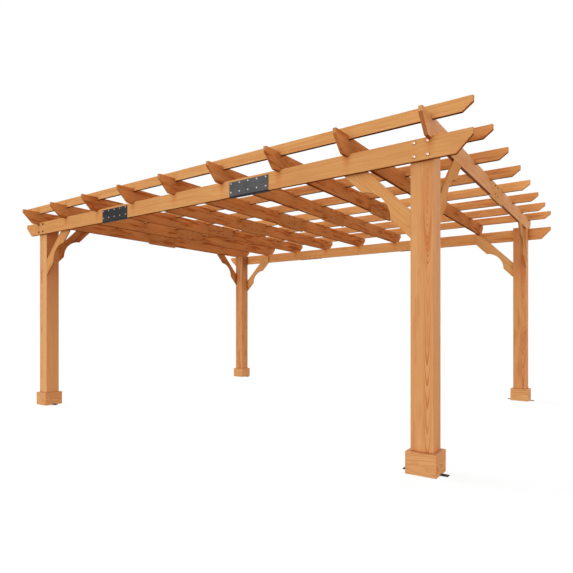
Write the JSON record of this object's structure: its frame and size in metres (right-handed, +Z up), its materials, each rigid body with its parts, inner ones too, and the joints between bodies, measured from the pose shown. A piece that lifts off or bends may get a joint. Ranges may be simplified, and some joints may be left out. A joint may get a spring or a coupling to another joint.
{
  "type": "timber pergola",
  "caption": "Open timber pergola on square posts, with nosed beams, notched rafters, cross slats, scooped knee braces, mitred post skirts and steel brackets.",
  "frame": {"origin": "ground level under the middle of the pergola", "axes": "+Z up, +X along the beams to the right, +Y along the rafters to the back"},
  "size_m": [5.032, 3.956, 2.261],
  "materials": {
    "post_wood": "oiled cedar",
    "beam_wood": "oiled cedar",
    "rafter_wood": "oiled cedar",
    "slat_wood": "oiled cedar",
    "brace_wood": "oiled cedar",
    "skirt_wood": "oiled cedar",
    "bracket_steel": "grey powder coat",
    "foot_steel": "black powder coat",
    "bolt_steel": "bright zinc plate"
  },
  "bodies": {
    "root": {"post_front_left": "post_wood", "post_front_right": "post_wood", "post_back_left": "post_wood", "post_back_right": "post_wood", "foot_front_left": "foot_steel", "foot_front_right": "foot_steel", "foot_back_left": "foot_steel", "foot_back_right": "foot_steel", "skirt_front_left": "skirt_wood", "skirt_front_right": "skirt_wood", "skirt_back_left": "skirt_wood", "skirt_back_right": "skirt_wood", "front_beam_left": "beam_wood", "front_beam_middle": "beam_wood", "front_beam_right": "beam_wood", "back_beam_left": "beam_wood", "back_beam_middle": "beam_wood", "back_beam_right": "beam_wood", "beam_brackets": "bracket_steel", "rafter_1": "rafter_wood", "rafter_2": "rafter_wood", "rafter_3": "rafter_wood", "rafter_4": "rafter_wood", "rafter_5": "rafter_wood", "rafter_6": "rafter_wood", "rafter_7": "rafter_wood", "rafter_8": "rafter_wood", "rafter_9": "rafter_wood", "rafter_splices": "rafter_wood", "slat_1": "slat_wood", "slat_2": "slat_wood", "slat_3": "slat_wood", "slat_4": "slat_wood", "slat_5": "slat_wood", "slat_6": "slat_wood", "slat_7": "slat_wood", "slat_8": "slat_wood", "brace_front_left_beam": "brace_wood", "brace_front_right_beam": "brace_wood", "brace_back_left_beam": "brace_wood", "brace_back_right_beam": "brace_wood", "brace_front_left_rafter": "brace_wood", "brace_front_right_rafter": "brace_wood", "brace_back_left_rafter": "brace_wood", "brace_back_right_rafter": "brace_wood"}
  },
  "joints": []
}
